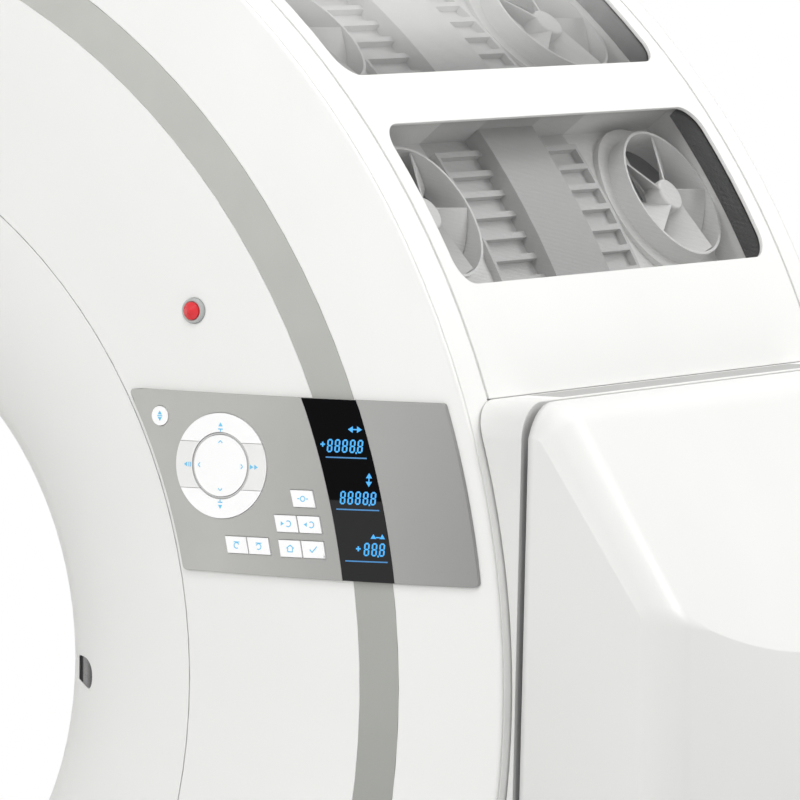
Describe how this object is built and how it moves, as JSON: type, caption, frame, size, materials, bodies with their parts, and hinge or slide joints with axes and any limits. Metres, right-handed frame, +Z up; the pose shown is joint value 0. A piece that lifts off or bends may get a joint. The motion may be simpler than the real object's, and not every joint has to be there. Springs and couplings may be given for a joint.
{
  "type": "ct scanner gantry",
  "caption": "Upright ring-shaped body scanner: a drum with a flared round bore tilts between floor-standing side columns and holds a spinning ring inside.",
  "frame": {"origin": "on the floor, under the middle of the bore and halfway between the front and rear faces", "axes": "+X to the right seen from the front, front faces -Y, +Z up; the bore axis runs along Y and the tilt axis along X, 1.05 m above the floor"},
  "size_m": [2.23, 0.8831, 1.98],
  "materials": {
    "belt_rubber": "ribbed",
    "bezel_grey": "satin",
    "black_plastic": "matt",
    "bore_shell": "satin white moulding",
    "bright_steel": "machined",
    "cast_housing": "painted casting",
    "column_shell": "satin white paint",
    "display_glass": "black glass",
    "drum_shell": "satin white paint",
    "face_shell": "satin white moulding",
    "fan_grey": "moulded grey",
    "frame_steel": "satin powder coat",
    "grey_trim": "satin grey",
    "inner_shell": "satin light grey paint",
    "key_soft_grey": "soft light grey",
    "key_white": "soft white",
    "lens_dark": "dark tinted",
    "light_grey_trim": "satin light grey",
    "panel_grey": "satin grey moulding",
    "rotor_aluminium": "machined",
    "scan_film": "thin film",
    "slip_brass": "turned tracks",
    "stop_red": "gloss red",
    "tray_grey": "moulded grey",
    "wire_mesh": "woven wire"
  },
  "bodies": {
    "stand": {"base_frame": "frame_steel", "levelling_feet": "bright_steel", "column_cover_left": "column_shell", "column_cover_right": "column_shell", "column_inner_panels": "inner_shell", "tilt_slew_drive": "cast_housing", "trunnion_bearing": "cast_housing", "mains_inlet": "black_plastic"},
    "gantry": {"brush_block": "black_plastic", "control_panel": "panel_grey", "display_window": "display_glass", "drive_belt": "belt_rubber", "drive_motor": "cast_housing", "drum_skin_lower": "drum_shell", "drum_skin_upper": "drum_shell", "fan_trays": "tray_grey", "front_cover": "face_shell", "front_flare": "bore_shell", "gantry_frame": "frame_steel", "grey_band": "grey_trim", "laser_lens": "lens_dark", "main_bearing_outer": "bright_steel", "rear_cover": "face_shell", "rear_flare": "bore_shell", "scan_window": "scan_film", "side_fairing_left": "drum_shell", "side_fairing_right": "drum_shell", "side_trims": "light_grey_trim", "stop_bezel": "bezel_grey", "window_mesh": "wire_mesh"},
    "rotor": {"rotor_ring": "rotor_aluminium", "xray_tube": "cast_housing", "collimator": "frame_steel", "detector_arc": "tray_grey", "hv_generator": "cast_housing", "counterweight": "frame_steel", "slip_ring": "slip_brass"},
    "pulley": {"motor_pulley": "bright_steel"},
    "fan_1": {"fan_impeller_1": "fan_grey"},
    "fan_2": {"fan_impeller_2": "fan_grey"},
    "fan_3": {"fan_impeller_3": "fan_grey"},
    "fan_4": {"fan_impeller_4": "fan_grey"},
    "fan_5": {"fan_impeller_5": "fan_grey"},
    "fan_6": {"fan_impeller_6": "fan_grey"},
    "fan_7": {"fan_impeller_7": "fan_grey"},
    "fan_8": {"fan_impeller_8": "fan_grey"},
    "dial_pad_body": {"dial_pad": "key_white"},
    "dial_up_body": {"dial_up": "key_white"},
    "dial_down_body": {"dial_down": "key_white"},
    "dial_left_body": {"dial_left": "key_soft_grey"},
    "dial_right_body": {"dial_right": "key_soft_grey"},
    "round_key_body": {"round_key": "key_white"},
    "key_1_body": {"key_1": "key_white"},
    "key_2_body": {"key_2": "key_white"},
    "key_3_body": {"key_3": "key_white"},
    "key_4_body": {"key_4": "key_white"},
    "key_5_body": {"key_5": "key_white"},
    "key_6_body": {"key_6": "key_white"},
    "key_7_body": {"key_7": "key_white"},
    "stop_body": {"stop_button": "stop_red"}
  },
  "joints": [
    {"name": "gantry_tilt", "type": "hinge", "parent": "stand", "child": "gantry", "pos_m": [0, 0, 1.05], "axis": [1, 0, 0], "range_deg": [-30, 30]},
    {"name": "rotor_spin", "type": "hinge", "parent": "gantry", "child": "rotor", "pos_m": [0, 0.1, 1.05], "axis": [0, 1, 0], "continuous": true},
    {"name": "pulley_spin", "type": "hinge", "parent": "gantry", "child": "pulley", "pos_m": [-0.25994, 0.1, 0.33583], "axis": [0, 1, 0], "continuous": true},
    {"name": "fan_1_spin", "type": "hinge", "parent": "gantry", "child": "fan_1", "pos_m": [0.74506, -0.248, 1.51828], "axis": [0.8467, 0, 0.5321], "continuous": true},
    {"name": "fan_2_spin", "type": "hinge", "parent": "gantry", "child": "fan_2", "pos_m": [0.74506, 0.248, 1.51828], "axis": [0.8467, 0, 0.5321], "continuous": true},
    {"name": "fan_3_spin", "type": "hinge", "parent": "gantry", "child": "fan_3", "pos_m": [0.59111, -0.248, 1.70191], "axis": [0.6717, 0, 0.7408], "continuous": true},
    {"name": "fan_4_spin", "type": "hinge", "parent": "gantry", "child": "fan_4", "pos_m": [0.59111, 0.248, 1.70191], "axis": [0.6717, 0, 0.7408], "continuous": true},
    {"name": "fan_5_spin", "type": "hinge", "parent": "gantry", "child": "fan_5", "pos_m": [-0.59111, -0.248, 1.70191], "axis": [-0.6717, 0, 0.7408], "continuous": true},
    {"name": "fan_6_spin", "type": "hinge", "parent": "gantry", "child": "fan_6", "pos_m": [-0.59111, 0.248, 1.70191], "axis": [-0.6717, 0, 0.7408], "continuous": true},
    {"name": "fan_7_spin", "type": "hinge", "parent": "gantry", "child": "fan_7", "pos_m": [-0.74506, -0.248, 1.51828], "axis": [-0.8467, 0, 0.5321], "continuous": true},
    {"name": "fan_8_spin", "type": "hinge", "parent": "gantry", "child": "fan_8", "pos_m": [-0.74506, 0.248, 1.51828], "axis": [-0.8467, 0, 0.5321], "continuous": true},
    {"name": "dial_pad_press", "type": "slide", "parent": "gantry", "child": "dial_pad_body", "axis": [0, 1, 0], "range_m": [0, 0.001], "stiffness_N_per_m": 600, "springref_m": -0.0005},
    {"name": "dial_up_press", "type": "slide", "parent": "gantry", "child": "dial_up_body", "axis": [0, 1, 0], "range_m": [0, 0.001], "stiffness_N_per_m": 600, "springref_m": -0.0005},
    {"name": "dial_down_press", "type": "slide", "parent": "gantry", "child": "dial_down_body", "axis": [0, 1, 0], "range_m": [0, 0.001], "stiffness_N_per_m": 600, "springref_m": -0.0005},
    {"name": "dial_left_press", "type": "slide", "parent": "gantry", "child": "dial_left_body", "axis": [0, 1, 0], "range_m": [0, 0.001], "stiffness_N_per_m": 600, "springref_m": -0.0005},
    {"name": "dial_right_press", "type": "slide", "parent": "gantry", "child": "dial_right_body", "axis": [0, 1, 0], "range_m": [0, 0.001], "stiffness_N_per_m": 600, "springref_m": -0.0005},
    {"name": "round_key_press", "type": "slide", "parent": "gantry", "child": "round_key_body", "axis": [0, 1, 0], "range_m": [0, 0.001], "stiffness_N_per_m": 600, "springref_m": -0.0005},
    {"name": "key_1_press", "type": "slide", "parent": "gantry", "child": "key_1_body", "axis": [0, 1, 0], "range_m": [0, 0.001], "stiffness_N_per_m": 600, "springref_m": -0.0005},
    {"name": "key_2_press", "type": "slide", "parent": "gantry", "child": "key_2_body", "axis": [0, 1, 0], "range_m": [0, 0.001], "stiffness_N_per_m": 600, "springref_m": -0.0005},
    {"name": "key_3_press", "type": "slide", "parent": "gantry", "child": "key_3_body", "axis": [0, 1, 0], "range_m": [0, 0.001], "stiffness_N_per_m": 600, "springref_m": -0.0005},
    {"name": "key_4_press", "type": "slide", "parent": "gantry", "child": "key_4_body", "axis": [0, 1, 0], "range_m": [0, 0.001], "stiffness_N_per_m": 600, "springref_m": -0.0005},
    {"name": "key_5_press", "type": "slide", "parent": "gantry", "child": "key_5_body", "axis": [0, 1, 0], "range_m": [0, 0.001], "stiffness_N_per_m": 600, "springref_m": -0.0005},
    {"name": "key_6_press", "type": "slide", "parent": "gantry", "child": "key_6_body", "axis": [0, 1, 0], "range_m": [0, 0.001], "stiffness_N_per_m": 600, "springref_m": -0.0005},
    {"name": "key_7_press", "type": "slide", "parent": "gantry", "child": "key_7_body", "axis": [0, 1, 0], "range_m": [0, 0.001], "stiffness_N_per_m": 600, "springref_m": -0.0005},
    {"name": "stop_press", "type": "slide", "parent": "gantry", "child": "stop_body", "axis": [0, 1, 0], "range_m": [0, 0.004], "stiffness_N_per_m": 800, "springref_m": -0.001}
  ],
  "couplings": [
    {"joint": "pulley_spin", "follows": "rotor_spin", "ratio": 17.5}
  ]
}
